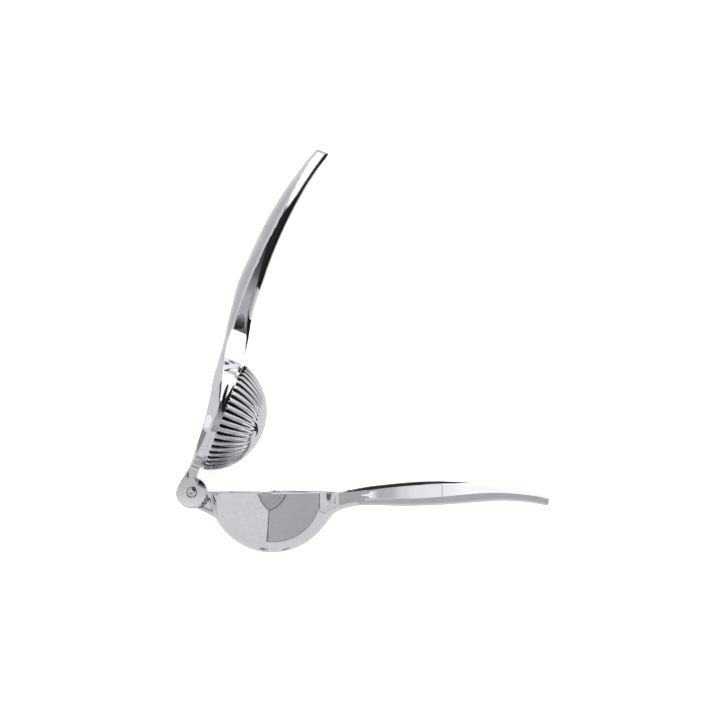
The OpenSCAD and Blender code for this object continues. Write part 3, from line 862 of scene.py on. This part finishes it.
# small glowing cards close over the flat sides, seen only from beneath: they paint reflected light and shade onto
# the chrome there
NEAR = [
    ("neck_shade", [(80, 0.45), (101, 0.45), (110, 0.51), (118, 0.54), (126, 0.77), (134, 0.91), (149.2, 0.99), (149.6, 0.72), (150.2, 0.72), (150.6, 1.0), (165, 1.15), (245, 1.15)],
     flat(on_bowl_arm, (84, -7), (245, 14), 16), ALONG_BOWL),
    ("neck_tip", [(100, 1.0), (104.2, 1.0), (111.4, 0.53)],
     [on_bowl_arm(x, y, 15) for x, y in ((101.5, -1.8), (102.2, -0.9), (102.8, -0.3), (103.9, 0.5), (107.2, 1.2), (111.5, 2.6), (111.5, -5.5), (107.2, -4.9),
                                         (103.9, -4.1), (102.8, -3.4), (102.2, -2.7))], ALONG_BOWL),
    ("press_dark_near", 0.02, [on_press_arm(u, n, 15.5) for u, n in ((126, -5), (128, -8.0), (136, -9.8), (146, -10.8), (158, -12), (172, -10.2), (186, -6.8), (190, -3), (170, -4), (150, -5))], None),
    ("press_white_near", 1.25, flat(on_press_arm, (83, -18), (100.2, 1), 14), None),
    ("press_spot", [(101, 0.015), (104, 0.05), (109.5, 0.33)],
     [on_press_arm(u, n, 13.5) for u, n in ((100.8, -11.6), (101.6, -8.5), (102.6, -6.8), (105.5, -7.4), (108.5, -8.8), (109.5, -11.0), (107, -12.4), (103, -12.9))], ALONG_PRESS),
    ("press_tip", 0.60, flat(on_press_arm, (217.8, -9), (232, 6), 14), None),
    ("hinge_shade", [(-10, 0.92), (-5, 0.74), (0, 0.62), (5, 0.55), (11, 0.54), (20, 0.54)], [on_bowl_arm(x, y, 16) for x, y in ((-12, 14), (12, 14), (9.6, 2), (9, -3), (6.8, -6.8), (3, -9.3), (-3, -10.2), (-12, -11))], (0.0, 1.0, 0.0)),
    ("hinge_grey", 0.24, crescent(9.6, 3.1, 8, 88, 15.4), None),
    ("hinge_dark", 0.03, crescent(9.6, 0.25, 14, 80, 15), None),
    ("neck_light", 0.68, [on_bowl_arm(x, y, 15) for x, y in ((9.4, 0.5), (12.6, 0.5), (12.6, -14.5), (2.5, -12), (3.2, -9.9), (7, -7.2), (9.2, -3.4))], None),
    ("neck_stripe", 0.36, [on_bowl_arm(x, y, 14.5) for x, y in ((5.0, -8.9), (6.4, -8.0), (13.5, -11.4), (13.2, -12.9))], None),
    ("hinge_dash", 0.02, spot(on_bowl_arm, -2.6, 10.2, 0.5, 1.9, 15, -0.35), None),
    ("pocket_dark", 0.02, crescent(10.8, 1.3, -70, -2, 14.5), None),
    ("pin_dark", 0.02, spot(on_bowl_arm, 1.4, 1.8, 1.3, 1.7, 12.2, 0.5), None),
]
for name, tone, corners, along in NEAR:
    card(name, corners, tone, from_below=True, along=along)

world = bpy.data.worlds.new("tent")
bpy.context.scene.world = world
n = Nodes(world)
way = n.add("ShaderNodeTexCoord").outputs["Generated"]
value = n.ramp(n.noise(way, 9.0, 3.0, 0.55), 0.3, 0.7, 0.68, 0.735)
mottle = n.ramp(n.noise(way, 16.0, 4.0, 0.6), 0.3, 0.7, 0.965, 1.035)
for tone, sides in ROOM:
    inside = None
    for px, py, pz, off, soft in sides:
        along = n.add("ShaderNodeVectorMath", {0: way, 1: (px, py, pz)}, operation="DOT_PRODUCT").outputs["Value"]
        part = n.ramp(along, -soft - off, soft - off)
        inside = part if inside is None else n.math("MULTIPLY", inside, part)
    value = n.math("ADD", value, n.math("MULTIPLY", n.math("SUBTRACT", tone, value), inside))
value = n.math("MULTIPLY", value, mottle)
shade = n.add("ShaderNodeCombineColor", {"Red": value, "Green": n.math("MULTIPLY", value, 1.005), "Blue": n.math("MULTIPLY", value, 1.02)})
tent = n.add("ShaderNodeBackground", {"Color": shade.outputs[0], "Strength": 1.0})
plain = n.add("ShaderNodeBackground", {"Color": (1.0, 1.003, 1.006, 1), "Strength": 1.0})
seen = n.add("ShaderNodeLightPath").outputs["Is Glossy Ray"]
both = n.add("ShaderNodeMixShader", {"Fac": seen, 1: plain.outputs[0], 2: tent.outputs[0]})
n.add("ShaderNodeOutputWorld", {"Surface": both.outputs[0]})

key = bpy.data.lights.new("overhead_softbox", "AREA")
key.shape, key.size, key.energy = "SQUARE", 1.6, 54.0
key_ob = bpy.data.objects.new("overhead_softbox", key)
key_ob.location = (0.0, 0.0, 1.5)
key_ob.visible_glossy = False
key_ob.visible_camera = False
bpy.context.scene.collection.objects.link(key_ob)

# ---------------------------------------------------------------------------
# Camera: a long lens looking straight down on the open tool
# ---------------------------------------------------------------------------
cam = bpy.data.cameras.new("camera")
cam.lens, cam.sensor_width = 300.0, 36.0
cam.clip_start, cam.clip_end = 0.1, 50.0
cam_ob = bpy.data.objects.new("camera", cam)
cx, cy, _ = on_photo(362, 362)
cam_ob.location = (cx, cy, 0.0382 + 0.4344 / 36.0 * 300.0)
bpy.context.scene.collection.objects.link(cam_ob)
bpy.context.scene.camera = cam_ob
bpy.context.scene.view_settings.view_transform = "Standard"
bpy.context.scene.view_settings.look = "None"
